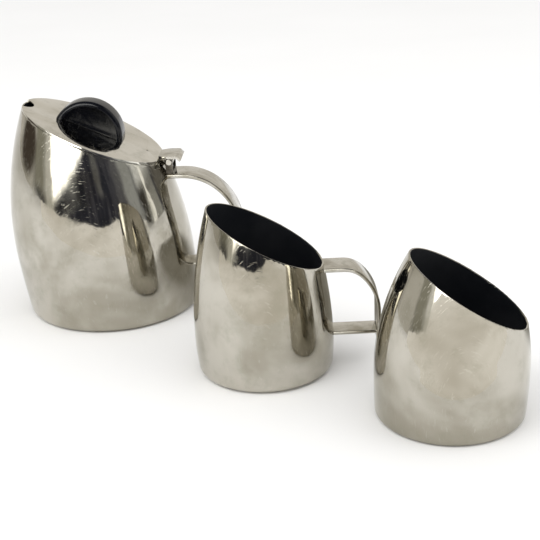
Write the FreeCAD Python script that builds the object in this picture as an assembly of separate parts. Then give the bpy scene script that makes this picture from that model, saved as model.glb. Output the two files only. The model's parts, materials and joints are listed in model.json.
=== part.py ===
"""A three-piece stainless steel tea set: a teapot with a hinged lid, a milk jug and a sugar bowl.

Millimetres and degrees. +Z is up, the set stands on z = 0, and the origin is under the middle of the set.
Every vessel is drawn in its own frame first: its axis is Z, its pouring tip points to +X and its handle
to -X. It is then turned to its heading and moved to its place on the table.
"""
import FreeCAD
import Part
import math
import os

from FreeCAD import Matrix, Placement, Rotation, Vector

os.makedirs("parts", exist_ok=True)

# ---- driving dimensions -------------------------------------------------------------------------------

sheet = 1.0                # pressed steel sheet of the three vessels

# A vessel's side is one parabola from the foot out to the belly, and one from the belly in to the top.
# lean is how far each section moves towards the tip per millimetre of height. The rim is cut by a plane
# that crosses the vessel's axis at rim_height and rises towards the tip by rim_slope.
teapot = {
    "place": (-91.57, 81.3), "heading": 176.5, "lean": 0.10,
    "foot_r": 58.9, "corner_r": 4.0, "belly_r": 60.1, "belly_z": 40.0, "top_r": 32.9, "top_z": 146.0,
    "rim_height": 119.1, "rim_slope": 24.2,
}
milk_jug = {
    "place": (12.13, -31.9), "heading": 180.0, "lean": 0.022,
    "foot_r": 41.0, "corner_r": 4.5, "belly_r": 41.9, "belly_z": 20.0, "top_r": 28.4, "top_z": 104.0,
    "rim_height": 85.1, "rim_slope": 28.1,
}
sugar_bowl = {
    "place": (113.43, -99.0), "heading": 175.5, "lean": -0.023,
    "foot_r": 41.9, "corner_r": 3.0, "belly_r": 42.6, "belly_z": 27.0, "top_r": 23.6, "top_z": 96.0,
    "rim_height": 79.3, "rim_slope": 31.9,
}

# A handle is a flat strap that leaves the body level, bends down in two tangent arcs and ends just below
# a level bar that ties it to the body.
teapot_handle = {
    "width": 21.0, "thickness": 2.4, "top_z": 92.3, "reach": 92.0, "level_to": 53.0, "arc_turn": 45.0,
    "first_arc_r": 36.9, "end_z": 20.0, "end_corner_r": 6.5, "bar_z": 28.4, "bar_width": 16.5,
    "bar_thickness": 2.0,
}
jug_handle = {
    "width": 18.6, "thickness": 2.2, "top_z": 64.0, "reach": 69.6, "level_to": 48.0, "arc_turn": 45.0,
    "first_arc_r": 16.9, "end_z": 14.5, "end_corner_r": 5.5, "bar_z": 22.4, "bar_width": 14.5,
    "bar_thickness": 2.0,
}

lid_thickness = 1.2
notch_r = 8.5              # round notch in the lid's tip, which leaves the pouring hole
notch_depth = 7.0          # from the tip of the rim to the deepest point of the notch
vent_r = 0.8
vent_x = -32.9             # along the lid from the axis, towards the handle

flange_clearance = 0.6     # between the lid's locating flange and the inner wall
flange_thickness = 0.8
flange_depth = 3.6
flange_gap = 28.0          # width of the flange's opening behind the pouring hole

pin_r = 1.5
pin_clearance = 0.05       # radial, between the pin and the lid's knuckle
pin_x = 45.4               # behind the teapot's axis
pin_z = 100.6
pin_head_r = 2.1
pin_head = 0.7
pin_head_rounding = 0.4
knuckle_wall = 1.1
knuckle_length = 12.6
side_clearance = 0.3       # between the knuckle's ends and the bracket's ears
ear_thickness = 2.0
ear_r = 2.4                # round top of an ear, about the pin
bracket_base = 1.6
bracket_depth = 12.0       # before the body's side cuts it short

leaf_width = 21.0
leaf_thickness = 1.6
leaf_pad = 2.6             # stretch that lies on the lid, measured behind the leaf's front end
leaf_tail = 5.0            # level stretch behind the pin
leaf_lip = 2.4             # how far the tail's end turns down, at 45 degrees
leaf_end_r = 10.4          # rounded front end

knob_r = 23.3              # its arc, a little less than half a disc
knob_thickness = 16.0
knob_sink = 3.8            # centre of that arc below the lid's surface
knob_x = 7.2               # its middle, up the slope from the axis
knob_recess_r = 19.2       # the half-round finger recess in each face
knob_recess_sink = 2.6     # centre of the recess below the lid's surface
knob_recess = 4.6          # depth of the finger recess in each face
knob_edge_r = 2.8

screw_spacing = 24.0
screw_r = 1.9
screw_clearance = 0.1      # radial, in the lid's holes and in the inserts
screw_head_r = 3.4
screw_head = 2.0
screw_slot = 1.0           # width of the driver slot, which is half the head deep
washer_r = 4.6
washer_thickness = 0.8
insert_r = 3.0
insert_length = 7.0
insert_floor = 0.8         # closed end of an insert
thread_length = 6.0        # how far a screw reaches into its insert

# ---- helpers ------------------------------------------------------------------------------------------

Y_AXIS = Vector(0, 1, 0)
Z_AXIS = Vector(0, 0, 1)
FAR = 400.0                # larger than the whole set


def table_placement(vessel):
    x, y = vessel["place"]
    return Placement(Vector(x, y, 0), Rotation(Z_AXIS, vessel["heading"]))


def rim_placement(vessel):
    """Lays a shape drawn on the XY plane onto the vessel's rim plane, with +X up the slope to the tip."""
    return Placement(Vector(0, 0, vessel["rim_height"]), Rotation(Y_AXIS, -vessel["rim_slope"]))


def solid_of(shape):
    """The one solid of a boolean's result."""
    if len(shape.Solids) != 1:
        raise ValueError("expected one solid, got %d" % len(shape.Solids))
    return shape.Solids[0]


def plug(vessel, inset):
    """The vessel's full form before the rim is cut, pulled in by inset all round."""
    foot = vessel["foot_r"] - inset
    belly = vessel["belly_r"] - inset
    top = vessel["top_r"] - inset
    corner = max(vessel["corner_r"] - inset, 0.5)
    belly_z, top_z = vessel["belly_z"], vessel["top_z"]
    low = inset
    side_z = low + corner
    base = Part.LineSegment(Vector(0, 0, low), Vector(foot - corner, 0, low)).toShape()
    turn = corner * math.sqrt(0.5)
    rounding = Part.Arc(Vector(foot - corner, 0, low),
                        Vector(foot - corner + turn, 0, side_z - turn),
                        Vector(foot, 0, side_z)).toShape()
    flare = Part.BezierCurve()
    flare.setPoles([Vector(foot, 0, side_z), Vector(belly, 0, (side_z + belly_z) / 2),
                    Vector(belly, 0, belly_z)])
    shoulder = Part.BezierCurve()
    shoulder.setPoles([Vector(belly, 0, belly_z), Vector(belly, 0, (belly_z + top_z) / 2),
                       Vector(top, 0, top_z)])
    lid_line = Part.LineSegment(Vector(top, 0, top_z), Vector(0, 0, top_z)).toShape()
    axis_line = Part.LineSegment(Vector(0, 0, top_z), Vector(0, 0, low)).toShape()
    outline = Part.Wire([base, rounding, flare.toShape(), shoulder.toShape(), lid_line, axis_line])
    turned = Part.Face(outline).revolve(Vector(0, 0, 0), Z_AXIS, 360)
    shear = Matrix(1, 0, vessel["lean"], 0, 0, 1, 0, 0, 0, 0, 1, 0, 0, 0, 0, 1)
    return on_true_plane(turned.transformGeometry(shear), low)


def on_true_plane(solid, height):
    """Rebuilds the level face at that height as a plane, because the lean leaves it as a spline surface."""
    base = min(solid.Faces, key=lambda face: abs(face.CenterOfMass.z - height))
    others = [face for face in solid.Faces if not face.isSame(base)]
    plane = Part.Plane(Vector(0, 0, height), -Z_AXIS)
    return Part.Solid(Part.Shell(others + [Part.Face(plane, base.OuterWire)]))


def slab(vessel, low, high):
    """Everything between two planes parallel to the rim, at heights low and high above it."""
    block = Part.makeBox(2 * FAR, 2 * FAR, high - low, Vector(-FAR, -FAR, low))
    block.Placement = rim_placement(vessel)
    return block


def make_vessel(vessel):
    above = slab(vessel, 0, FAR)
    outside = plug(vessel, 0).cut(above)
    return solid_of(outside.cut(plug(vessel, sheet)))


def strap_outline(handle, offset):
    """The strap's centre line moved outwards by offset, as edges from the body to the lower end."""
    half = handle["thickness"] / 2
    level_z = handle["top_z"] - half + offset
    outer_x = handle["reach"] - half + offset
    turn = math.radians(handle["arc_turn"])
    first_r = handle["first_arc_r"] - half + offset
    start = Vector(0, 0, level_z)
    bend = Vector(handle["level_to"], 0, level_z)
    # the second radius follows from the reach, so that the strap ends vertical
    second_r = (outer_x - bend.x - first_r * math.sin(turn)) / (1 - math.sin(turn))
    first_centre = bend - Vector(0, 0, first_r)
    join = first_centre + Vector(first_r * math.sin(turn), 0, first_r * math.cos(turn))
    second_centre = join - Vector(second_r * math.sin(turn), 0, second_r * math.cos(turn))
    down = second_centre + Vector(second_r, 0, 0)
    first_mid = first_centre + Vector(first_r * math.sin(turn / 2), 0, first_r * math.cos(turn / 2))
    mean = (turn + math.pi / 2) / 2
    second_mid = second_centre + Vector(second_r * math.sin(mean), 0, second_r * math.cos(mean))
    end = Vector(down.x, 0, handle["end_z"])
    return [Part.LineSegment(start, bend).toShape(),
            Part.Arc(bend, first_mid, join).toShape(),
            Part.Arc(join, second_mid, down).toShape(),
            Part.LineSegment(down, end).toShape()], start, end


def eased(solid, radius, chosen):
    """Fillets the edges that chosen picks."""
    edges = [edge for edge in solid.Edges if chosen(edge)]
    return solid.makeFillet(radius, edges) if edges else solid


def make_strap(vessel, handle):
    half = handle["thickness"] / 2
    outer, outer_start, outer_end = strap_outline(handle, half)
    inner, inner_start, inner_end = strap_outline(handle, -half)
    closing = [Part.LineSegment(outer_end, inner_end).toShape(),
               Part.LineSegment(inner_start, outer_start).toShape()]
    outline = Part.Wire(Part.__sortEdges__(outer + inner + closing))
    width = handle["width"]
    strap = Part.Face(outline).extrude(Vector(0, width, 0))
    strap.translate(Vector(0, -width / 2, 0))

    def lower_corner(edge):
        return all(abs(v.Point.z - handle["end_z"]) < 1e-6 for v in edge.Vertexes) and edge.Length < width / 2

    strap = eased(strap, handle["end_corner_r"], lower_corner)
    strap.rotate(Vector(0, 0, 0), Z_AXIS, 180)
    return solid_of(strap.cut(plug(vessel, 0)))


def make_bar(vessel, handle):
    """The level bar from the body to the strap's inner face."""
    width, thickness = handle["bar_width"], handle["bar_thickness"]
    inner_x = handle["reach"] - handle["thickness"]
    bar = Part.makeBox(inner_x, width, thickness, Vector(-inner_x, -width / 2, handle["bar_z"] - thickness))
    return solid_of(bar.cut(plug(vessel, 0)))


# ---- the lid and its hinge, in the teapot's own frame --------------------------------------------------

slope = math.radians(teapot["rim_slope"])


def on_rim(shape):
    """Places a shape drawn flat, in lid coordinates, on the rim plane."""
    placed = shape.copy()
    placed.Placement = rim_placement(teapot).multiply(placed.Placement)
    return placed


def along_lid(x, height=0.0):
    """Teapot-frame point of a place on the lid: x up the slope from the axis, height above the rim plane."""
    return Vector(x * math.cos(slope) - height * math.sin(slope), 0,
                  teapot["rim_height"] + x * math.sin(slope) + height * math.cos(slope))


def rim_tip():
    """How far the rim reaches from the axis towards the tip, measured along the slope."""
    rim = plug(teapot, 0).common(slab(teapot, -0.01, 0)).Vertexes
    flat = rim_placement(teapot).inverse()
    return max(flat.multVec(v.Point).x for v in rim)


def screw_places():
    return [knob_x - screw_spacing / 2, knob_x + screw_spacing / 2]


def discs(radius, low, high):
    """A cylinder at each of the knob's two screws, between two heights above the rim plane."""
    return [Part.makeCylinder(radius, high - low, Vector(x, 0, low)) for x in screw_places()]


def make_lid_plate():
    plate = plug(teapot, 0).common(slab(teapot, 0, lid_thickness))
    centre = rim_tip() - notch_depth + notch_r
    through = 3 * lid_thickness
    cutters = [Part.makeCylinder(notch_r, through, Vector(centre, 0, -lid_thickness)),
               Part.makeCylinder(vent_r, through, Vector(vent_x, 0, -lid_thickness))]
    cutters += discs(screw_r + screw_clearance, -lid_thickness, 2 * lid_thickness)
    for cutter in cutters:
        plate = plate.cut(on_rim(cutter))
    return solid_of(plate)


def rim_face(inset):
    """The flat section of the teapot's form at the rim plane, pulled in by inset."""
    plane = Part.makePlane(2 * FAR, 2 * FAR, Vector(-FAR, -FAR, 0))
    plane.Placement = rim_placement(teapot)
    return plug(teapot, inset).common(plane).Faces[0]


def make_lid_flange():
    down = along_lid(0, -flange_depth) - along_lid(0)
    outer_inset = sheet + flange_clearance
    ring = rim_face(outer_inset).extrude(down).cut(rim_face(outer_inset + flange_thickness).extrude(down))
    gap = Part.makeBox(FAR, flange_gap, FAR, Vector(0, -flange_gap / 2, -FAR / 2))
    return solid_of(ring.cut(on_rim(gap)))


def make_leaf():
    """A strip that lies on the lid, runs level over the hinge and ends in a turned-down lip."""
    half = leaf_width / 2
    under_z = pin_z + pin_r + pin_clearance + knuckle_wall
    lid_top = along_lid(0, lid_thickness)

    def lid_z(x):
        return lid_top.z + math.tan(slope) * (x - lid_top.x)

    tail_x = -(pin_x + leaf_tail)
    # where the strip's level underside comes down onto the sloping lid
    meet_x = lid_top.x + (under_z - lid_top.z) / math.tan(slope)
    front = Vector(meet_x + leaf_pad, 0, lid_z(meet_x + leaf_pad))
    normal = Vector(-math.sin(slope), 0, math.cos(slope)) * leaf_thickness
    top_z = under_z + leaf_thickness
    fold = leaf_thickness * math.tan(slope / 2)
    lip_fold = leaf_thickness * math.tan(math.pi / 8)
    lip_end = Vector(tail_x - leaf_lip, 0, under_z - leaf_lip)
    lip_normal = Vector(-1, 0, 1) * leaf_thickness * math.sqrt(0.5)
    points = [front, Vector(meet_x, 0, under_z), Vector(tail_x, 0, under_z), lip_end, lip_end + lip_normal,
              Vector(tail_x - lip_fold, 0, top_z), Vector(meet_x - fold, 0, top_z), front + normal]
    side = Part.Face(Part.makePolygon(points + [points[0]]))
    strip = side.extrude(Vector(0, leaf_width, 0))
    strip.translate(Vector(0, -half, 0))
    # rounded front end, seen from above
    nose = Part.makeCylinder(leaf_end_r, FAR, Vector(front.x - leaf_end_r, 0, 0))
    behind = Part.makeBox(FAR, leaf_width, FAR, Vector(front.x - leaf_end_r - FAR, -half, 0))
    strip = strip.common(nose.fuse(behind))
    bore_r = pin_r + pin_clearance
    knuckle = Part.makeCylinder(bore_r + knuckle_wall, knuckle_length,
                                Vector(-pin_x, -knuckle_length / 2, pin_z), Y_AXIS)
    root = Part.makeBox(2 * bore_r, knuckle_length, under_z + leaf_thickness / 2 - pin_z,
                        Vector(-pin_x - bore_r, -knuckle_length / 2, pin_z))
    bore = Part.makeCylinder(bore_r, 2 * leaf_width, Vector(-pin_x, -leaf_width, pin_z), Y_AXIS)
    return solid_of(strip.fuse(knuckle.fuse(root).cut(bore)))


def ear_centres():
    reach = knuckle_length / 2 + side_clearance + ear_thickness / 2
    return [-reach, reach]


def make_bracket():
    """Two ears on a small base that lies on the strap and is welded to it and to the body."""
    strap_top = teapot_handle["top_z"]
    width = knuckle_length + 2 * (side_clearance + ear_thickness)
    bracket = Part.makeBox(bracket_depth, width, bracket_base, Vector(-pin_x - ear_r, -width / 2, strap_top))
    for y in ear_centres():
        low_y = y - ear_thickness / 2
        top = Part.makeCylinder(ear_r, ear_thickness, Vector(-pin_x, low_y, pin_z), Y_AXIS)
        stem = Part.makeBox(bracket_depth, ear_thickness, pin_z - strap_top,
                            Vector(-pin_x - ear_r, low_y, strap_top))
        front = Part.makeBox(FAR, ear_thickness, FAR, Vector(-pin_x + ear_r, low_y, strap_top + bracket_base))
        bracket = bracket.fuse(top).fuse(stem.cut(front))
    bore = Part.makeCylinder(pin_r, 2 * width, Vector(-pin_x, -width, pin_z), Y_AXIS)
    bracket = bracket.cut(bore).cut(plug(teapot, 0))
    return solid_of(bracket.removeSplitter())


def make_pin():
    reach = ear_centres()[1] + ear_thickness / 2
    pin = Part.makeCylinder(pin_r, 2 * reach, Vector(-pin_x, -reach, pin_z), Y_AXIS)
    for y, facing in ((-reach, Vector(0, -1, 0)), (reach, Y_AXIS)):
        head = Part.makeCylinder(pin_head_r, pin_head, Vector(-pin_x, y, pin_z), facing)
        outer_y = y + facing.y * pin_head
        head = eased(head, pin_head_rounding,
                     lambda edge: all(abs(v.Point.y - outer_y) < 1e-6 for v in edge.Vertexes) and edge.Closed)
        pin = pin.fuse(head)
    return solid_of(pin.removeSplitter())


# ---- the knob and what holds it ------------------------------------------------------------------------

def half_disc(radius, sink, thickness, low_y):
    """An upright disc cut off by the lid's upper face, its centre sunk below that face, in lid coordinates."""
    disc = Part.makeCylinder(radius, thickness, Vector(knob_x, low_y, lid_thickness - sink), Y_AXIS)
    upper = Part.makeBox(2 * FAR, 2 * FAR, FAR, Vector(-FAR, -FAR, lid_thickness))
    return disc.common(upper)


def make_knob():
    half = knob_thickness / 2
    body = half_disc(knob_r, knob_sink, knob_thickness, -half)

    def outer_arc(edge):
        return edge.Curve.TypeId == "Part::GeomCircle" and abs(edge.Curve.Radius - knob_r) < 1e-6

    body = eased(body, knob_edge_r, outer_arc)
    for low_y in (-half - 1, half - knob_recess):
        body = body.cut(half_disc(knob_recess_r, knob_recess_sink, knob_recess + 1, low_y))
    for socket in discs(insert_r, lid_thickness, lid_thickness + insert_length):
        body = body.cut(socket)
    return solid_of(body)


def make_inserts():
    blanks = discs(insert_r, lid_thickness, lid_thickness + insert_length)
    bores = discs(screw_r + screw_clearance, 0, lid_thickness + insert_length - insert_floor)
    return Part.makeCompound([blank.cut(bore) for blank, bore in zip(blanks, bores)])


def make_washers():
    blanks = discs(washer_r, -washer_thickness, 0)
    bores = discs(screw_r + screw_clearance, -washer_thickness, 0)
    return Part.makeCompound([blank.cut(bore) for blank, bore in zip(blanks, bores)])


def make_screws():
    screws = []
    low = -washer_thickness - screw_head
    slots = [Part.makeBox(2 * screw_head_r, screw_slot, screw_head / 2,
                          Vector(x - screw_head_r, -screw_slot / 2, low)) for x in screw_places()]
    heads = discs(screw_head_r, low, -washer_thickness)
    shanks = discs(screw_r, -washer_thickness, lid_thickness + thread_length)
    for head, shank, slot in zip(heads, shanks, slots):
        screws.append(head.fuse(shank).removeSplitter().cut(slot))
    return Part.makeCompound(screws)


# ---- assembly ------------------------------------------------------------------------------------------

def export(name, shape, vessel):
    placed = shape.copy()
    placed.Placement = table_placement(vessel).multiply(placed.Placement)
    if not placed.isValid():
        raise ValueError(name + " isn't a valid shape")
    placed.exportStep("parts/%s.step" % name)
    print("%-24s %2d solid(s)  %9.1f mm3" % (name, len(placed.Solids), placed.Volume))


export("teapot_body", make_vessel(teapot), teapot)
export("teapot_handle_strap", make_strap(teapot, teapot_handle), teapot)
export("teapot_handle_bar", make_bar(teapot, teapot_handle), teapot)
export("hinge_bracket", make_bracket(), teapot)
export("hinge_pin", make_pin(), teapot)
export("lid_plate", make_lid_plate(), teapot)
export("lid_flange", make_lid_flange(), teapot)
export("lid_hinge_leaf", make_leaf(), teapot)
export("knob", on_rim(make_knob()), teapot)
export("knob_inserts", on_rim(make_inserts()), teapot)
export("knob_washers", on_rim(make_washers()), teapot)
export("knob_screws", on_rim(make_screws()), teapot)
export("milk_jug_body", make_vessel(milk_jug), milk_jug)
export("milk_jug_handle_strap", make_strap(milk_jug, jug_handle), milk_jug)
export("milk_jug_handle_bar", make_bar(milk_jug, jug_handle), milk_jug)
export("sugar_bowl_body", make_vessel(sugar_bowl), sugar_bowl)
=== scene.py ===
import json
import math

import bmesh
import bpy
from mathutils import Matrix, Vector


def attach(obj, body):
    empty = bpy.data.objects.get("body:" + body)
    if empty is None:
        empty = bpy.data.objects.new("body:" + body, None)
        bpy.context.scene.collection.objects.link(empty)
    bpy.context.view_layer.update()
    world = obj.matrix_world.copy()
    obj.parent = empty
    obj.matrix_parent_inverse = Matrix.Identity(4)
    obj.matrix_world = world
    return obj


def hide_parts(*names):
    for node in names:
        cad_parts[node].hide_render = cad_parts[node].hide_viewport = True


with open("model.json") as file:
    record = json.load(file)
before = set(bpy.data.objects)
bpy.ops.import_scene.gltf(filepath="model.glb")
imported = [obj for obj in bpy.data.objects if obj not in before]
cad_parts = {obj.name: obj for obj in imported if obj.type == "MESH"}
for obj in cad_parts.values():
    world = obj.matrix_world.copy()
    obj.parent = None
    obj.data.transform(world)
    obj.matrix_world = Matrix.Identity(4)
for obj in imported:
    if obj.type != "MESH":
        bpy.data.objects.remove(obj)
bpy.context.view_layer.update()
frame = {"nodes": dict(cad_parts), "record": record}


mounts = {mount["name"]: Vector(mount["pos_m"]) for mount in frame["record"]["mounts"]}
# coordinates nearer than this count as equal
tiny = 1e-5
print("frame loaded")


# working in object and edit mode

def clearSelection():
    if bpy.context.object and bpy.context.object.mode != "OBJECT":
        bpy.ops.object.mode_set(mode="OBJECT")
    bpy.ops.object.select_all(action="DESELECT")


def activate(piece):
    clearSelection()
    piece.select_set(True)
    bpy.context.view_layer.objects.active = piece


def startEditing(name):
    piece = bpy.context.object
    piece.name = name
    bpy.ops.object.transform_apply(location=True, rotation=True, scale=True)
    bpy.ops.object.mode_set(mode="EDIT")
    bpy.ops.mesh.select_all(action="SELECT")
    return piece


def pickVertices(piece, wanted):
    bpy.ops.mesh.select_mode(type="VERT")
    bpy.ops.mesh.select_all(action="DESELECT")
    mesh = bmesh.from_edit_mesh(piece.data)
    for vertex in mesh.verts:
        if wanted(vertex.co):
            vertex.select_set(True)
    bmesh.update_edit_mesh(piece.data)


def pickEdges(piece, wanted):
    bpy.ops.mesh.select_mode(type="EDGE")
    bpy.ops.mesh.select_all(action="DESELECT")
    mesh = bmesh.from_edit_mesh(piece.data)
    for edge in mesh.edges:
        if wanted(edge.verts[0].co, edge.verts[1].co):
            edge.select_set(True)
    bmesh.update_edit_mesh(piece.data)


def faceOutward():
    bpy.ops.mesh.select_all(action="SELECT")
    bpy.ops.mesh.normals_make_consistent(inside=False)


def extrudeBy(x, y, z):
    bpy.ops.mesh.extrude_region_move(TRANSFORM_OT_translate={"value": (x, y, z)})


def bendAbout(centreX, centreZ, turn, steps):
    bpy.ops.mesh.spin(steps=steps, angle=turn, center=(centreX, 0, centreZ), axis=(0, 1, 0))


def applyModifier(piece, kind, **settings):
    activate(piece)
    modifier = piece.modifiers.new(kind, kind)
    for setting, value in settings.items():
        setattr(modifier, setting, value)
    bpy.ops.object.modifier_apply(modifier=modifier.name)


def roundEdges(piece, width, segments, angle=40):
    applyModifier(piece, "BEVEL", width=width, segments=segments, limit_method="ANGLE",
                  angle_limit=math.radians(angle))


def settle(piece, place):
    # bakes the place into the mesh, so that the object itself stays at the origin
    activate(piece)
    piece.matrix_world = place
    bpy.ops.object.transform_apply(location=True, rotation=True, scale=True)


def finishPiece(piece, place, body, nodes, smoothAngle=38):
    settle(piece, place)
    bpy.ops.object.shade_smooth_by_angle(angle=math.radians(smoothAngle))
    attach(piece, body)
    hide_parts(*nodes)
    print(piece.name, "done,", len(piece.data.polygons), "faces")


# shader building blocks, where a socket is given either a value or another node's output

def isOutput(value):
    return isinstance(value, bpy.types.NodeSocket)


def setSockets(tree, node, sockets):
    for socket, value in sockets.items():
        if isOutput(value):
            tree.links.new(value, node.inputs[socket])
        else:
            node.inputs[socket].default_value = value


def addNode(tree, kind, sockets=(), **settings):
    node = tree.nodes.new(kind)
    for setting, value in settings.items():
        setattr(node, setting, value)
    setSockets(tree, node, dict(sockets))
    return node


def addMath(tree, operation, first, second=0.0):
    return addNode(tree, "ShaderNodeMath", {0: first, 1: second}, operation=operation).outputs[0]


def addSum(tree, first, *others):
    total = first
    for other in others:
        total = addMath(tree, "ADD", total, other)
    return total


def scaled(tree, value, factor):
    return addMath(tree, "MULTIPLY", value, factor)


def addRamp(tree, value, fromLow, fromHigh, toLow=0.0, toHigh=1.0):
    ramp = addNode(tree, "ShaderNodeMapRange",
                   {"Value": value, "From Min": fromLow, "From Max": fromHigh,
                    "To Min": toLow, "To Max": toHigh},
                   interpolation_type="SMOOTHSTEP")
    return ramp.outputs["Result"]


def addNoise(tree, vector, scale, detail, **sockets):
    given = {"Vector": vector, "Scale": scale, "Detail": detail, **sockets}
    return addNode(tree, "ShaderNodeTexNoise", given).outputs["Fac"]


def addBump(tree, height, strength, distance):
    bump = addNode(tree, "ShaderNodeBump",
                   {"Height": height, "Strength": strength, "Distance": distance})
    return bump.outputs["Normal"]


def mixColours(tree, share, first, second):
    # a mix node takes its share in socket 0 and its two colours in sockets 6 and 7
    sockets = {0: share}
    for socket, colour in ((6, first), (7, second)):
        sockets[socket] = colour if isOutput(colour) else (*colour, 1.0)
    return addNode(tree, "ShaderNodeMix", sockets, data_type="RGBA").outputs[2]


def placeGroup(tree, group, sockets):
    return addNode(tree, "ShaderNodeGroup", sockets, node_tree=group)


def newGroup(name, inputs, outputs):
    group = bpy.data.node_groups.new(name, "ShaderNodeTree")
    for direction, names in (("INPUT", inputs), ("OUTPUT", outputs)):
        for socketName in names:
            kind = "NodeSocketVector" if socketName == "Vector" else "NodeSocketFloat"
            group.interface.new_socket(socketName, in_out=direction, socket_type=kind)
    given = group.nodes.new("NodeGroupInput").outputs
    return group, given, group.nodes.new("NodeGroupOutput")


def newMaterial(name):
    material = bpy.data.materials.new(name)
    material.use_nodes = True
    tree = material.node_tree
    shader = tree.nodes["Principled BSDF"]
    coordinates = addNode(tree, "ShaderNodeTexCoord").outputs["Object"]
    return material, tree, shader, coordinates


hairs = {"turns": [(12, 5, 30), (-25, 40, 75), (60, -15, 140), (35, 80, -20)], "stretch": 26.0,
         "thin": (0.66, 0.72), "breakScale": 90.0, "breaks": (0.55, 0.62)}


def makeScratchGroup():
    # hair-fine lines in several directions, broken up so that none runs on for long
    group, given, result = newGroup("hairScratches", ["Vector", "Fineness", "Density"], ["Mask"])
    total = 0.0
    for turn in hairs["turns"]:
        mapping = addNode(group, "ShaderNodeMapping",
                          {"Vector": given["Vector"], "Rotation": [math.radians(a) for a in turn],
                           "Scale": (1.0, hairs["stretch"], 1.0)})
        lines = addNoise(group, mapping.outputs[0], given["Fineness"], 1.0)
        breaks = addNoise(group, mapping.outputs[0], hairs["breakScale"], 0.0)
        layer = addMath(group, "MULTIPLY", addRamp(group, lines, *hairs["thin"]),
                        addRamp(group, breaks, *hairs["breaks"]))
        total = addMath(group, "MAXIMUM", total, layer)
    setSockets(group, result, {"Mask": addMath(group, "MULTIPLY", total, given["Density"])})
    return group


cloudiness = {"broad": (0.38, 0.66), "fine": (0.45, 0.72), "finer": 4.5}


def makeCloudGroup():
    # soft cloudy patches, and a finer mottling of its own
    group, given, result = newGroup("cloudyStains", ["Vector", "Scale"], ["Broad", "Fine"])
    broad = addNoise(group, given["Vector"], given["Scale"], 3.0, Roughness=0.55, Distortion=0.4)
    fineScale = scaled(group, given["Scale"], cloudiness["finer"])
    fine = addNoise(group, given["Vector"], fineScale, 4.0, Roughness=0.65)
    setSockets(group, result, {"Broad": addRamp(group, broad, *cloudiness["broad"]),
                               "Fine": addRamp(group, fine, *cloudiness["fine"])})
    return group


pits = {"spot": (0.10, 0.03), "chosen": (0.80, 0.84)}


def makeSpeckGroup():
    # a few small pits, each a soft round spot in one of the cells that are chosen
    group, given, result = newGroup("specks", ["Vector", "Scale"], ["Mask"])
    cells = addNode(group, "ShaderNodeTexVoronoi",
                    {"Vector": given["Vector"], "Scale": given["Scale"]})
    spot = addRamp(group, cells.outputs["Distance"], *pits["spot"])
    lots = addNode(group, "ShaderNodeSeparateColor", {"Color": cells.outputs["Color"]})
    chosen = addRamp(group, lots.outputs["Red"], *pits["chosen"])
    setSockets(group, result, {"Mask": addMath(group, "MULTIPLY", spot, chosen)})
    return group


scratchGroup = makeScratchGroup()
cloudGroup = makeCloudGroup()
speckGroup = makeSpeckGroup()


wear = {"mottle": 0.35, "scratchShare": 0.12, "scratchColour": (0.80, 0.78, 0.72),
        "scratchRoughness": 0.10, "scratchDepth": 0.02, "speckScale": 75.0, "speckShare": 0.45,
        "speckColour": (0.12, 0.10, 0.08), "rippleScale": 38.0, "bumpDistance": 0.0005}


def makeSteel(name, steel):
    # polished sheet that has been washed and wiped for years
    material, tree, shader, coordinates = newMaterial(name)
    clouds = placeGroup(tree, cloudGroup, {"Vector": coordinates, "Scale": steel["stainScale"]})
    mottled = clouds.outputs["Fine"]
    scratches = placeGroup(tree, scratchGroup,
                           {"Vector": coordinates, "Fineness": steel["fineness"],
                            "Density": steel["scratches"]}).outputs["Mask"]
    specks = placeGroup(tree, speckGroup, {"Vector": coordinates, "Scale": wear["speckScale"]})
    colour = mixColours(tree, clouds.outputs["Broad"], steel["colour"], steel["stain"])
    colour = mixColours(tree, scaled(tree, mottled, wear["mottle"]), colour, steel["dull"])
    colour = mixColours(tree, scaled(tree, scratches, wear["scratchShare"]), colour,
                        wear["scratchColour"])
    colour = mixColours(tree, scaled(tree, specks.outputs["Mask"], wear["speckShare"]), colour,
                        wear["speckColour"])
    roughness = addSum(tree, scaled(tree, mottled, steel["haze"]),
                       scaled(tree, scratches, wear["scratchRoughness"]), steel["roughness"])
    ripple = addNoise(tree, coordinates, wear["rippleScale"], 1.0)
    height = addMath(tree, "SUBTRACT", scaled(tree, ripple, steel["ripple"]),
                     scaled(tree, scratches, wear["scratchDepth"]))
    setSockets(tree, shader, {"Base Color": colour, "Roughness": roughness, "Metallic": 1.0,
                              "Normal": addBump(tree, height, 1.0, wear["bumpDistance"])})
    return material


# painted shade: a near-black colour for the insides of the vessels, in place of the shade that
# falls in them
shadedInnerWall = {"stainScale": 16.0, "colour": (0.010, 0.011, 0.014), "stain": (0.022, 0.023, 0.026),
             "roughness": (0.42, 0.55), "specular": 0.25, "grainScale": 900.0, "grain": 0.15,
             "grainDistance": 0.0002}


def makePaintedShadeInside():
    # the inner walls, never polished, painted near black as painted shade for the shade inside the
    # vessels
    material, tree, shader, coordinates = newMaterial("paintedShadeInside")
    clouds = placeGroup(tree, cloudGroup,
                        {"Vector": coordinates, "Scale": shadedInnerWall["stainScale"]})
    colour = mixColours(tree, clouds.outputs["Broad"], shadedInnerWall["colour"], shadedInnerWall["stain"])
    roughness = addRamp(tree, clouds.outputs["Fine"], 0.0, 1.0, *shadedInnerWall["roughness"])
    grain = addNoise(tree, coordinates, shadedInnerWall["grainScale"], 2.0)
    setSockets(tree, shader, {"Base Color": colour, "Roughness": roughness,
                              "Specular IOR Level": shadedInnerWall["specular"],
                              "Normal": addBump(tree, grain, shadedInnerWall["grain"],
                                                shadedInnerWall["grainDistance"])})
    return material


plastic = {"stainScale": 55.0, "colour": (0.0035, 0.0040, 0.0060),
           "stain": (0.0060, 0.0065, 0.0095), "fineness": 90.0, "scratches": 0.6, "haze": 0.08,
           "scratchRoughness": 0.20, "roughness": 0.13, "refraction": 1.36, "ripple": 0.2,
           "rippleDistance": 0.0002}


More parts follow.
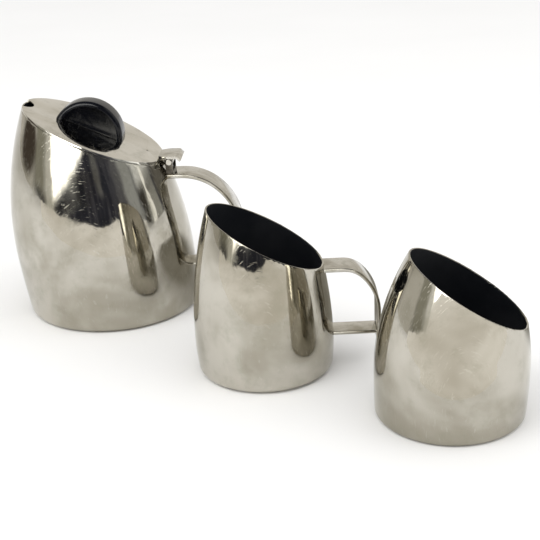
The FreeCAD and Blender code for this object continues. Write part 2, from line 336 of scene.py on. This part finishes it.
def makeBlackPlastic():
    # glossy moulded plastic with faint wipe marks
    material, tree, shader, coordinates = newMaterial("blackPlastic")
    clouds = placeGroup(tree, cloudGroup, {"Vector": coordinates, "Scale": plastic["stainScale"]})
    scratches = placeGroup(tree, scratchGroup,
                           {"Vector": coordinates, "Fineness": plastic["fineness"],
                            "Density": plastic["scratches"]}).outputs["Mask"]
    broad = clouds.outputs["Broad"]
    roughness = addSum(tree, scaled(tree, clouds.outputs["Fine"], plastic["haze"]),
                       scaled(tree, scratches, plastic["scratchRoughness"]), plastic["roughness"])
    setSockets(tree, shader, {"Base Color": mixColours(tree, broad, plastic["colour"],
                                                       plastic["stain"]),
                              "Roughness": roughness, "IOR": plastic["refraction"],
                              "Normal": addBump(tree, broad, plastic["ripple"],
                                                plastic["rippleDistance"])})
    return material


bodySteel = {"colour": (0.545, 0.52, 0.46), "stain": (0.37, 0.345, 0.285),
             "dull": (0.31, 0.30, 0.235), "stainScale": 20.0, "fineness": 170.0, "scratches": 1.0,
             "roughness": 0.055, "haze": 0.10, "ripple": 0.35}
polishedSteel = makeSteel("polishedSteel", bodySteel)
strapSteel = makeSteel("strapSteel", dict(bodySteel, colour=(0.62, 0.60, 0.55), stainScale=45.0,
                                          roughness=0.10, ripple=0.3))
# painted light: the lid's steel is a lighter copy of the body's steel, brightened for the light
# its top mirrors
litLidSteel = makeSteel("litLidSteel", dict(bodySteel, colour=(0.70, 0.675, 0.62),
                                      stain=(0.60, 0.57, 0.505), roughness=0.04, haze=0.06,
                                      ripple=0.2))
# painted shade and grime: the hinge steel is made far darker than the other steel, for the dim
# corner around the hinge
hingeSteelGrimeAndShade = makeSteel("hingeSteelGrimeAndShade", dict(bodySteel, colour=(0.17, 0.155, 0.13),
                                          stain=(0.07, 0.062, 0.05), dull=(0.10, 0.09, 0.07),
                                          stainScale=160.0, roughness=0.25))
plainSteel = makeSteel("plainSteel", dict(bodySteel, roughness=0.28, stainScale=60.0, ripple=0.2))
brass = makeSteel("brass", dict(bodySteel, colour=(0.62, 0.42, 0.16), stain=(0.5, 0.33, 0.12),
                                roughness=0.25))
paintedShadeInside = makePaintedShadeInside()
blackPlastic = makeBlackPlastic()
print("materials made")


# the three vessels

sheet = 0.001
teapot = {
    "rest": "teapot_rest", "heading": 176.5, "lean": 0.10,
    "footRadius": 0.0589, "cornerRadius": 0.004, "bellyRadius": 0.0601, "bellyHeight": 0.040,
    "topRadius": 0.0329, "topHeight": 0.146, "rimHeight": 0.1191, "rimSlope": 24.2,
}
milkJug = {
    "rest": "milk_jug_rest", "heading": 180.0, "lean": 0.022,
    "footRadius": 0.0410, "cornerRadius": 0.0045, "bellyRadius": 0.0419, "bellyHeight": 0.020,
    "topRadius": 0.0284, "topHeight": 0.104, "rimHeight": 0.0851, "rimSlope": 28.1,
}
sugarBowl = {
    "rest": "sugar_bowl_rest", "heading": 175.5, "lean": -0.023,
    "footRadius": 0.0419, "cornerRadius": 0.003, "bellyRadius": 0.0426, "bellyHeight": 0.027,
    "topRadius": 0.0236, "topHeight": 0.096, "rimHeight": 0.0793, "rimSlope": 31.9,
}
shell = {"around": 168, "cornerRings": 6, "flareRings": 12, "shoulderRings": 52,
         "rimRounding": 0.00032, "rimSegments": 3, "rimAngle": 50, "mergeNear": 0.0005}


def standing(vessel):
    turned = Matrix.Rotation(math.radians(vessel["heading"]), 4, "Z")
    return Matrix.Translation(mounts[vessel["rest"]]) @ turned


def rimFrame(vessel):
    # lid coordinates, with the rim plane at z = 0 and x running up the slope towards the tip
    return (Matrix.Translation((0, 0, vessel["rimHeight"]))
            @ Matrix.Rotation(-math.radians(vessel["rimSlope"]), 4, "Y"))


def rimPlane(vessel, lift):
    place = rimFrame(vessel)
    return place @ Vector((0, 0, lift)), place.to_3x3() @ Vector((0, 0, 1))


def sideProfile(vessel):
    # radius and height of each ring: the foot's round corner, the flare, then the shoulder
    foot, corner, belly = vessel["footRadius"], vessel["cornerRadius"], vessel["bellyRadius"]
    rings = []
    for step in range(shell["cornerRings"] + 1):
        turn = step / shell["cornerRings"] * math.pi / 2
        rings.append((foot - corner + corner * math.sin(turn), corner - corner * math.cos(turn)))
    for step in range(1, shell["flareRings"] + 1):
        t = step / shell["flareRings"]
        rings.append((foot + (belly - foot) * (2 * t - t * t),
                      corner + (vessel["bellyHeight"] - corner) * t))
    for step in range(1, shell["shoulderRings"] + 1):
        t = step / shell["shoulderRings"]
        rings.append((belly - (belly - vessel["topRadius"]) * t * t,
                      vessel["bellyHeight"] + (vessel["topHeight"] - vessel["bellyHeight"]) * t))
    return rings


def raiseSide(name, vessel, fromHeight=0.0):
    # extrudes one ring after another up the side, from fromHeight if one is given
    rings = [ring for ring in sideProfile(vessel) if ring[1] >= fromHeight]
    radius, height = rings[0]
    lean = vessel["lean"]
    clearSelection()
    bpy.ops.mesh.primitive_circle_add(vertices=shell["around"], radius=radius,
                                      fill_type="NOTHING" if fromHeight else "NGON",
                                      location=(lean * height, 0, height))
    piece = startEditing(name)
    for nextRadius, nextHeight in rings[1:]:
        rise = nextHeight - height
        bpy.ops.mesh.extrude_edges_move(TRANSFORM_OT_translate={"value": (lean * rise, 0, rise)})
        grow = nextRadius / radius
        bpy.ops.transform.resize(value=(grow, grow, 1),
                                 center_override=(lean * nextHeight, 0, nextHeight))
        radius, height = nextRadius, nextHeight
    faceOutward()
    return piece


def sortByPlace(elements, middle):
    ordered = sorted(elements, key=lambda element: [round(part, 7) for part in middle(element)])
    ranks = {element: rank for rank, element in enumerate(ordered)}
    elements.sort(key=lambda element: ranks[element])


def fixOrder(piece):
    # a cut lists what it makes in any order, and what is merged next depends on the order
    mesh = bmesh.from_edit_mesh(piece.data)
    sortByPlace(mesh.verts, lambda vertex: vertex.co)
    sortByPlace(mesh.edges, lambda edge: edge.verts[0].co + edge.verts[1].co)
    sortByPlace(mesh.faces, lambda face: face.calc_center_median())
    bmesh.update_edit_mesh(piece.data)


def cutAlongRim(piece, vessel, lift, clearAbove):
    point, normal = rimPlane(vessel, lift)
    bpy.ops.mesh.select_all(action="SELECT")
    bpy.ops.mesh.bisect(plane_co=point, plane_no=normal, use_fill=False, clear_outer=clearAbove,
                        clear_inner=not clearAbove, threshold=1e-6)
    fixOrder(piece)


def evenRim(piece, vessel, lift=0.0):
    # merges the slivers that the cut left beside the rim and lays the rim flat again
    point, normal = rimPlane(vessel, lift)
    near = shell["mergeNear"]
    pickVertices(piece, lambda co: abs((co - point).dot(normal)) < near)
    bpy.ops.mesh.remove_doubles(threshold=near)
    mesh = bmesh.from_edit_mesh(piece.data)
    for vertex in mesh.verts:
        if vertex.select and vertex.is_boundary:
            vertex.co -= normal * (vertex.co - point).dot(normal)
    bmesh.update_edit_mesh(piece.data)


def makeVessel(name, vessel, body, node):
    piece = raiseSide(name, vessel)
    cutAlongRim(piece, vessel, 0.0, clearAbove=True)
    evenRim(piece, vessel)
    piece.data.materials.append(polishedSteel)
    # the inside of the wall takes the painted shade
    piece.data.materials.append(paintedShadeInside)
    applyModifier(piece, "SOLIDIFY", thickness=sheet, offset=-1.0, use_even_offset=True,
                  material_offset=1)
    roundEdges(piece, shell["rimRounding"], shell["rimSegments"], shell["rimAngle"])
    finishPiece(piece, standing(vessel), body, [node])


makeVessel("teapotShell", teapot, "teapot", "teapot_body")
makeVessel("milkJugShell", milkJug, "milk_jug", "milk_jug_body")
makeVessel("sugarBowlShell", sugarBowl, "sugar_bowl", "sugar_bowl_body")


# the strap handles

teapotHandle = {
    "width": 0.021, "thickness": 0.0024, "topHeight": 0.0923, "reach": 0.092, "levelTo": 0.053,
    "firstRadius": 0.0369, "endHeight": 0.020, "endRounding": 0.0065, "start": 0.0434,
    "barHeight": 0.0284, "barWidth": 0.0165, "barThickness": 0.002, "barStart": 0.0563,
}
jugHandle = {
    "width": 0.0186, "thickness": 0.0022, "topHeight": 0.064, "reach": 0.0696, "levelTo": 0.048,
    "firstRadius": 0.0169, "endHeight": 0.0145, "endRounding": 0.0055, "start": 0.0359,
    "barHeight": 0.0224, "barWidth": 0.0145, "barThickness": 0.002, "barStart": 0.0407,
}
strapFinish = {"edgeRounding": 0.0005, "edgeSegments": 3, "endSegments": 12, "arcSteps": 18,
               "arcTurn": 45.0}


def startSection(name, width, thickness, x, height):
    # an upright rectangle that faces away from the vessel, ready to be extruded along a path
    clearSelection()
    bpy.ops.mesh.primitive_plane_add(size=1, rotation=(0, math.pi / 2, 0), location=(x, 0, height))
    bpy.context.object.scale = (thickness, width, 1)
    return startEditing(name)


def finishHandlePiece(piece, vessel, body, node):
    piece.data.materials.append(strapSteel)
    roundEdges(piece, strapFinish["edgeRounding"], strapFinish["edgeSegments"])
    finishPiece(piece, standing(vessel), body, [node])


def makeStrap(name, vessel, handle, body, node):
    half = handle["thickness"] / 2
    levelZ = handle["topHeight"] - half
    outerX = handle["reach"] - half
    turn = math.radians(strapFinish["arcTurn"])
    steps = strapFinish["arcSteps"]
    firstRadius = handle["firstRadius"] - half
    # the second radius follows from the reach, so that the strap ends vertical
    secondRadius = ((outerX - handle["levelTo"] - firstRadius * math.sin(turn))
                    / (1 - math.sin(turn)))
    firstZ = levelZ - firstRadius
    joinX = -handle["levelTo"] - firstRadius * math.sin(turn)
    joinZ = firstZ + firstRadius * math.cos(turn)
    secondX = joinX + secondRadius * math.sin(turn)
    secondZ = joinZ - secondRadius * math.cos(turn)
    piece = startSection(name, handle["width"], handle["thickness"], -handle["start"], levelZ)
    extrudeBy(handle["start"] - handle["levelTo"], 0, 0)
    bendAbout(-handle["levelTo"], firstZ, turn, steps)
    bendAbout(secondX, secondZ, turn, steps)
    extrudeBy(0, 0, handle["endHeight"] - secondZ)
    faceOutward()

    def lowerCorner(a, b):
        low = max(a.z, b.z) < handle["endHeight"] + tiny
        return low and abs(a.y - b.y) < tiny

    pickEdges(piece, lowerCorner)
    bpy.ops.mesh.bevel(offset=handle["endRounding"], segments=strapFinish["endSegments"],
                       affect="EDGES")
    finishHandlePiece(piece, vessel, body, node)


def makeBar(name, vessel, handle, body, node):
    middleZ = handle["barHeight"] - handle["barThickness"] / 2
    strapInnerX = handle["reach"] - handle["thickness"]
    piece = startSection(name, handle["barWidth"], handle["barThickness"], -handle["barStart"],
                         middleZ)
    extrudeBy(handle["barStart"] - strapInnerX, 0, 0)
    faceOutward()
    finishHandlePiece(piece, vessel, body, node)


makeStrap("teapotStrap", teapot, teapotHandle, "teapot", "teapot_handle_strap")
makeBar("teapotBar", teapot, teapotHandle, "teapot", "teapot_handle_bar")
makeStrap("milkJugStrap", milkJug, jugHandle, "milk_jug", "milk_jug_handle_strap")
makeBar("milkJugBar", milkJug, jugHandle, "milk_jug", "milk_jug_handle_bar")


# the lid, with its pouring notch and vent

lid = {"thickness": 0.0012, "startHeight": 0.088, "tip": 0.05415, "notchRadius": 0.0085,
       "notchDepth": 0.007, "ventRadius": 0.0008, "ventX": -0.0329, "cutDepth": 0.01,
       "cutAround": 64, "edgeRounding": 0.00028, "smoothAngle": 30}


def addCutter(place, radius, depth, around):
    clearSelection()
    bpy.ops.mesh.primitive_cylinder_add(vertices=around, radius=radius, depth=depth)
    cutter = bpy.context.object
    settle(cutter, place)
    return cutter


def cutWith(piece, cutter):
    applyModifier(piece, "BOOLEAN", operation="DIFFERENCE", object=cutter)
    bpy.data.objects.remove(cutter)


def makeLid():
    piece = raiseSide("lidPlate", teapot, lid["startHeight"])
    cutAlongRim(piece, teapot, 0.0, clearAbove=False)
    evenRim(piece, teapot)
    cutAlongRim(piece, teapot, lid["thickness"], clearAbove=True)
    evenRim(piece, teapot, lid["thickness"])
    # fills the two open rings of the band that is left, which makes it a plate
    bpy.ops.mesh.select_mode(type="EDGE")
    bpy.ops.mesh.select_all(action="DESELECT")
    bpy.ops.mesh.select_non_manifold()
    bpy.ops.mesh.edge_face_add()
    faceOutward()
    clearSelection()
    place = rimFrame(teapot)
    notchX = lid["tip"] - lid["notchDepth"] + lid["notchRadius"]
    for x, radius in ((notchX, lid["notchRadius"]), (lid["ventX"], lid["ventRadius"])):
        cutWith(piece, addCutter(place @ Matrix.Translation((x, 0, 0)), radius, lid["cutDepth"],
                                 lid["cutAround"]))
    piece.data.materials.append(litLidSteel)
    roundEdges(piece, lid["edgeRounding"], shell["rimSegments"], shell["rimAngle"])
    finishPiece(piece, standing(teapot), "lid", ["lid_plate"],
                lid["smoothAngle"])


makeLid()


# the hinge leaf, which lies on the lid and bends level over the pin

leaf = {"width": 0.021, "thickness": 0.0016, "pad": 0.004, "frontX": -0.0357, "endRadius": 0.01045,
        "lip": 0.0025, "lipTurn": 45.0, "bendRadius": 0.0016, "bendSteps": 6, "tailX": -0.0504,
        "foldX": -0.0387, "edgeRounding": 0.00035, "edgeSegments": 3, "edgeAngle": 35,
        "knuckleLength": 0.0126, "knuckleRadius": 0.00265, "knuckleAround": 48,
        "knuckleRounding": 0.0003, "knuckleSegments": 2, "pinX": -0.0454, "pinZ": 0.1006}
noseTrim = {"around": 96, "fromHeight": 0.08, "height": 0.05, "length": 0.02}


def makeNose(frontX, radius):
    # an upright prism, rounded in front, that trims the leaf to its outline
    clearSelection()
    bpy.ops.mesh.primitive_circle_add(vertices=noseTrim["around"], radius=radius, fill_type="NGON",
                                      location=(frontX - radius, 0, noseTrim["fromHeight"]))
    nose = startEditing("nose")
    pickVertices(nose, lambda co: co.x < frontX - radius - tiny)
    bpy.ops.transform.translate(value=(-noseTrim["length"], 0, 0))
    bpy.ops.mesh.select_mode(type="FACE")
    bpy.ops.mesh.select_all(action="SELECT")
    extrudeBy(0, 0, noseTrim["height"])
    faceOutward()
    clearSelection()
    return nose


def makeLeaf():
    slope = math.radians(teapot["rimSlope"])
    lipTurn = math.radians(leaf["lipTurn"])
    midZ = leaf["pinZ"] + leaf["knuckleRadius"] + leaf["thickness"] / 2
    bend = leaf["bendRadius"]
    piece = startSection("hingeLeaf", leaf["width"], leaf["thickness"], leaf["foldX"], midZ)
    # tail: level run, then the turned-down lip
    extrudeBy(leaf["tailX"] - leaf["foldX"], 0, 0)
    bendAbout(leaf["tailX"], midZ - bend, lipTurn, leaf["bendSteps"])
    extrudeBy(-leaf["lip"] * math.cos(lipTurn), 0, -leaf["lip"] * math.sin(lipTurn))
    # pad: from the fold up the slope of the lid
    pickVertices(piece, lambda co: co.x > leaf["foldX"] - tiny)
    bpy.ops.mesh.select_mode(type="FACE")
    bendAbout(leaf["foldX"], midZ + bend, slope, leaf["bendSteps"])
    extrudeBy(leaf["pad"], 0, leaf["pad"] * math.tan(slope))
    faceOutward()
    clearSelection()
    nose = makeNose(leaf["frontX"], leaf["endRadius"])
    applyModifier(piece, "BOOLEAN", operation="INTERSECT", object=nose)
    bpy.data.objects.remove(nose)
    roundEdges(piece, leaf["edgeRounding"], leaf["edgeSegments"], leaf["edgeAngle"])
    clearSelection()
    bpy.ops.mesh.primitive_cylinder_add(vertices=leaf["knuckleAround"],
                                        radius=leaf["knuckleRadius"],
                                        depth=leaf["knuckleLength"], rotation=(math.pi / 2, 0, 0),
                                        location=(leaf["pinX"], 0, leaf["pinZ"]))
    knuckle = startEditing("knuckle")
    bpy.ops.object.mode_set(mode="OBJECT")
    roundEdges(knuckle, leaf["knuckleRounding"], leaf["knuckleSegments"])
    activate(piece)
    knuckle.select_set(True)
    bpy.ops.object.join()
    piece.data.materials.append(strapSteel)
    finishPiece(piece, standing(teapot), "lid", ["lid_hinge_leaf"])


makeLeaf()


# the knob: an upright half disc with a finger recess in each face

knob = {"radius": 0.0233, "around": 128, "thickness": 0.016, "sink": 0.0038, "x": 0.0072,
        "rounding": 0.0028, "roundingSegments": 8, "recessRadius": 0.0192, "recessAround": 96,
        "recessSink": 0.0026, "recess": 0.0046, "recessRounding": 0.0006, "recessSegments": 4,
        "recessAngle": 45, "smoothAngle": 42}


def makeKnob():
    base = lid["thickness"]
    half = knob["thickness"] / 2
    clearSelection()
    bpy.ops.mesh.primitive_cylinder_add(vertices=knob["around"], radius=knob["radius"],
                                        depth=knob["thickness"], rotation=(math.pi / 2, 0, 0),
                                        location=(knob["x"], 0, base - knob["sink"]))
    piece = startEditing("knobGrip")
    bpy.ops.mesh.bisect(plane_co=(0, 0, base + tiny), plane_no=(0, 0, 1), use_fill=True,
                        clear_inner=True)

    def outerArc(a, b):
        onFace = abs(abs(a.y) - half) < tiny and abs(abs(b.y) - half) < tiny
        sameFace = abs(a.y - b.y) < tiny
        return onFace and sameFace and max(a.z, b.z) > base + 10 * tiny

    pickEdges(piece, outerArc)
    bpy.ops.mesh.bevel(offset=knob["rounding"], segments=knob["roundingSegments"], affect="EDGES")
    clearSelection()
    flat = Matrix.Rotation(math.pi / 2, 4, "X")
    for side in (-1, 1):
        place = Matrix.Translation((knob["x"], side * half, base - knob["recessSink"])) @ flat
        cutWith(piece, addCutter(place, knob["recessRadius"], 2 * knob["recess"],
                                 knob["recessAround"]))
    piece.data.materials.append(blackPlastic)
    roundEdges(piece, knob["recessRounding"], knob["recessSegments"], knob["recessAngle"])
    finishPiece(piece, standing(teapot) @ rimFrame(teapot), "lid", ["knob"],
                knob["smoothAngle"])


makeKnob()


# small pieces that keep their own mesh

smallFinishes = {
    "hinge_bracket": hingeSteelGrimeAndShade, "hinge_pin": strapSteel, "lid_flange": plainSteel,
    "knob_inserts": brass, "knob_washers": plainSteel, "knob_screws": plainSteel,
}
for nodeName, finish in smallFinishes.items():
    mesh = frame["nodes"][nodeName].data
    mesh.materials.clear()
    mesh.materials.append(finish)
print("small pieces finished")


# surroundings: what the camera sees is plain and pale, what the steel mirrors is a room

room = {"paper": (0.98, 0.98, 0.98), "dim": (0.030, 0.032, 0.043),
        "dimStreak": (0.085, 0.085, 0.10), "streakStretch": (16.0, 16.0, 1.5),
        "streaks": (0.42, 0.70), "swayScale": 7.0, "sway": 2.5}
# each patch: middle azimuth, half width, lowest and highest elevation, rise of its lower edge per
# degree of azimuth, soft edge, colour
patches = [
    (180, 62, -30, 45, 0, 12.0, (0.74, 0.71, 0.65)),
    (-98, 20, -9, 45, 0, 12.0, (0.62, 0.60, 0.54)),
    (-69, 10, 2, 50, 0, 8.0, (0.34, 0.33, 0.27)),
    (-54, 7, -4, 55, 0, 7.0, (0.85, 0.84, 0.78)),
    (-30, 16, 9, 40, 0, 10.0, (0.34, 0.35, 0.36)),
    (-21, 27, 27.5, 85, 0.5, 7.0, (5.0, 5.0, 4.85)),
    (19, 4, 14, 50, 0, 5.0, (0.17, 0.17, 0.17)),
    (49, 7, 3, 50, 0, 8.0, (0.13, 0.13, 0.14)),
    (64, 9, 2, 55, 0, 8.0, (0.42, 0.43, 0.42)),
    (92, 17, 12, 55, 0, 6.0, (0.85, 0.86, 0.84)),
    (92, 12, -6, 11, 0, 5.0, (0.40, 0.40, 0.37)),
    (121, 13, -4, 12, 0, 7.0, (0.16, 0.15, 0.13)),
    (78, 4, -8, 12, 0, 4.0, (0.07, 0.065, 0.055)),
    (88, 2.5, -2, 30, 0, 2.5, (1.5, 1.5, 1.45)),
]
overhead = {"from": 48.0, "to": 60.0, "colour": (0.05, 0.05, 0.06)}


def addPatch(tree, colour, azimuth, elevation, patch):
    middle, halfWidth, low, high, rise, soft, patchColour = patch
    # the distance to either side of the middle, the short way round
    aside = addMath(tree, "PINGPONG", addMath(tree, "SUBTRACT", azimuth, float(middle)), 180.0)
    across = addRamp(tree, aside, halfWidth + soft / 2, halfWidth - soft / 2)
    slanted = addMath(tree, "SUBTRACT", elevation, scaled(tree, azimuth, float(rise)))
    rising = addRamp(tree, slanted, low - soft / 2, low + soft / 2)
    falling = addRamp(tree, elevation, high + soft, high - soft)
    share = addMath(tree, "MULTIPLY", across, addMath(tree, "MULTIPLY", rising, falling))
    return mixColours(tree, share, colour, patchColour)


def makeWorld():
    world = bpy.data.worlds.new("studio")
    bpy.context.scene.world = world
    world.use_nodes = True
    tree = world.node_tree
    tree.nodes.clear()
    direction = addNode(tree, "ShaderNodeTexCoord").outputs["Generated"]
    parts = addNode(tree, "ShaderNodeSeparateXYZ", {"Vector": direction})
    around = addMath(tree, "ARCTAN2", parts.outputs["X"], scaled(tree, parts.outputs["Y"], -1.0))
    sway = addNoise(tree, direction, room["swayScale"], 2.0)
    azimuth = addSum(tree, scaled(tree, around, 180 / math.pi),
                     addRamp(tree, sway, 0.2, 0.8, -room["sway"], room["sway"]))
    elevation = scaled(tree, addMath(tree, "ARCSINE", parts.outputs["Z"]), 180 / math.pi)
    upright = addNode(tree, "ShaderNodeMapping",
                      {"Vector": direction, "Scale": room["streakStretch"]})
    streaks = addNoise(tree, upright.outputs[0], 1.0, 4.0)
    colour = mixColours(tree, addRamp(tree, streaks, *room["streaks"]), room["dim"],
                        room["dimStreak"])
    for patch in patches:
        colour = addPatch(tree, colour, azimuth, elevation, patch)
    colour = mixColours(tree, addRamp(tree, elevation, overhead["from"], overhead["to"]), colour,
                        overhead["colour"])
    mirrored = addNode(tree, "ShaderNodeLightPath").outputs["Is Glossy Ray"]
    background = addNode(tree, "ShaderNodeBackground",
                         {"Color": mixColours(tree, mirrored, room["paper"], colour),
                          "Strength": 1.0})
    addNode(tree, "ShaderNodeOutputWorld", {"Surface": background.outputs[0]})


def glowMaterial(name, colour, reach, softSize=None):
    # a glow that only surfaces nearer than the reach can mirror, soft-edged if a size is given
    material = bpy.data.materials.new(name)
    material.use_nodes = True
    tree = material.node_tree
    tree.nodes.clear()
    rayLength = addNode(tree, "ShaderNodeLightPath").outputs["Ray Length"]
    share = addMath(tree, "LESS_THAN", rayLength, reach)
    if softSize:
        place = addNode(tree, "ShaderNodeTexCoord").outputs["Object"]
        spread = addNode(tree, "ShaderNodeMapping",
                         {"Vector": place, "Scale": (2 / softSize[0], 2 / softSize[1], 1)})
        fromMiddle = addNode(tree, "ShaderNodeVectorMath", {0: spread.outputs[0]},
                             operation="LENGTH").outputs["Value"]
        share = addMath(tree, "MULTIPLY", addRamp(tree, fromMiddle, 1.0, 0.6), share)
    glow = addNode(tree, "ShaderNodeEmission", {"Color": (*colour, 1.0), "Strength": 1.0})
    clear = addNode(tree, "ShaderNodeBsdfTransparent")
    choice = addNode(tree, "ShaderNodeMixShader",
                     {0: share, 1: clear.outputs[0], 2: glow.outputs[0]})
    addNode(tree, "ShaderNodeOutputMaterial", {"Surface": choice.outputs[0]})
    return material


def mirrorOnly(card):
    for kind in ("visible_camera", "visible_diffuse", "visible_shadow", "visible_transmission"):
        setattr(card, kind, False)


# low pale upstands in front of the set, each with an uneven top edge that rises to the right
aprons = [
    {"name": "farApron", "y": -0.25, "from": -0.85, "to": 0.85, "height": 0.082, "rise": 0.028,
     "ripple": 0.003, "reach": 9.0, "colour": (1.12, 1.09, 1.03)},
    {"name": "nearApron", "y": -0.20, "from": -0.02, "to": 0.30, "height": 0.114, "rise": 0.026,
     "ripple": 0.003, "reach": 0.118, "colour": (1.13, 1.10, 1.04)},
]
apronTop = {"steps": 120, "riseAt": 0.07, "riseOver": 0.018, "wave": 38, "fineWave": 131,
            "fineShare": 0.4}


def makeApron(apron):
    clearSelection()
    bpy.ops.mesh.primitive_grid_add(x_subdivisions=apronTop["steps"], y_subdivisions=1, size=1)
    card = bpy.context.object
    card.name = apron["name"]
    width = apron["to"] - apron["from"]
    for vertex in card.data.vertices:
        x = apron["from"] + (vertex.co.x + 0.5) * width
        isTop = vertex.co.y > 0
        swell = apron["rise"] / (1 + math.exp(-(x - apronTop["riseAt"]) / apronTop["riseOver"]))
        fine = apronTop["fineShare"] * math.sin(x * apronTop["fineWave"] + 1)
        swell += apron["ripple"] * (math.sin(x * apronTop["wave"]) + fine)
        vertex.co = (x, apron["y"], apron["height"] + swell if isTop else 0.0)
    card.data.materials.append(glowMaterial(apron["name"], apron["colour"], apron["reach"]))
    mirrorOnly(card)


# soft-edged patches: one lies to the right behind the bowl, a painted shade that stands in for the
# shaded floor there in what the steel mirrors, one stands to the left of the teapot
shades = [
    {"name": "paintedShadeFloor", "at": (0.20, 0.10, 0.0006), "size": (0.56, 0.30), "turn": (0, 0, 0),
     "reach": 0.40, "colour": (0.26, 0.245, 0.205)},
    {"name": "brownSide", "at": (-0.30, 0.07, 0.150), "size": (0.15, 0.105), "turn": (90, 0, 90),
     "reach": 0.25, "colour": (0.075, 0.06, 0.047)},
]


def makeShade(shade):
    clearSelection()
    bpy.ops.mesh.primitive_plane_add(size=1)
    card = bpy.context.object
    card.name = shade["name"]
    card.scale = (*shade["size"], 1)
    bpy.ops.object.transform_apply(scale=True)
    card.location = shade["at"]
    card.rotation_euler = [math.radians(angle) for angle in shade["turn"]]
    card.data.materials.append(glowMaterial(shade["name"], shade["colour"], shade["reach"],
                                            shade["size"]))
    mirrorOnly(card)


paper = {"size": 14, "grainScale": 5.0, "colour": (0.88, 0.875, 0.865),
         "grain": (0.92, 0.915, 0.905), "roughness": 0.9}


def makeFloor():
    clearSelection()
    bpy.ops.mesh.primitive_plane_add(size=paper["size"])
    floor = bpy.context.object
    floor.name = "studioFloor"
    material, tree, shader, coordinates = newMaterial("palePaper")
    grain = addNoise(tree, coordinates, paper["grainScale"], 3.0)
    colour = mixColours(tree, grain, paper["colour"], paper["grain"])
    setSockets(tree, shader, {"Base Color": colour, "Roughness": paper["roughness"],
                              "Specular IOR Level": 0.0})
    floor.data.materials.append(material)


softboxes = [
    {"name": "keyLight", "at": (-0.7, -0.5, 1.3), "aim": (0, 0, 0.05), "size": (0.9, 0.7),
     "power": 6.0},
    {"name": "fillLight", "at": (0.9, -0.2, 1.0), "aim": (0, 0, 0.05), "size": (0.8, 0.8),
     "power": 2.5},
]


def addSoftbox(softbox):
    # lights the set but isn't mirrored in the steel
    light = bpy.data.lights.new(softbox["name"], "AREA")
    light.shape = "RECTANGLE"
    light.size, light.size_y = softbox["size"]
    light.energy = softbox["power"]
    box = bpy.data.objects.new(softbox["name"], light)
    bpy.context.scene.collection.objects.link(box)
    box.location = softbox["at"]
    aim = Vector(softbox["aim"]) - Vector(softbox["at"])
    box.rotation_euler = aim.to_track_quat("-Z", "Y").to_euler()
    box.visible_glossy = False


view = {"lookAt": (0.01693, 0.1199, 0.0), "distance": 0.84, "elevation": 22.1, "roll": -2.7,
        "lens": 76.0, "sensor": 36.0}


def makeCamera():
    lift = math.radians(view["elevation"])
    tilt = math.radians(view["roll"])
    forward = Vector((0, math.cos(lift), -math.sin(lift)))
    level = Vector((1, 0, 0))
    upright = level.cross(forward)
    right = level * math.cos(tilt) + upright * math.sin(tilt)
    up = upright * math.cos(tilt) - level * math.sin(tilt)
    camera = bpy.data.objects.new("camera", bpy.data.cameras.new("camera"))
    bpy.context.scene.collection.objects.link(camera)
    camera.data.lens = view["lens"]
    camera.data.sensor_width = view["sensor"]
    turned = Matrix((right, up, -forward)).transposed().to_4x4()
    place = Matrix.Translation(Vector(view["lookAt"]) - forward * view["distance"])
    camera.matrix_world = place @ turned
    bpy.context.scene.camera = camera


makeWorld()
makeFloor()
for apron in aprons:
    makeApron(apron)
for shade in shades:
    makeShade(shade)
for softbox in softboxes:
    addSoftbox(softbox)
makeCamera()
bpy.context.scene.view_settings.view_transform = "Standard"
print("stage set")
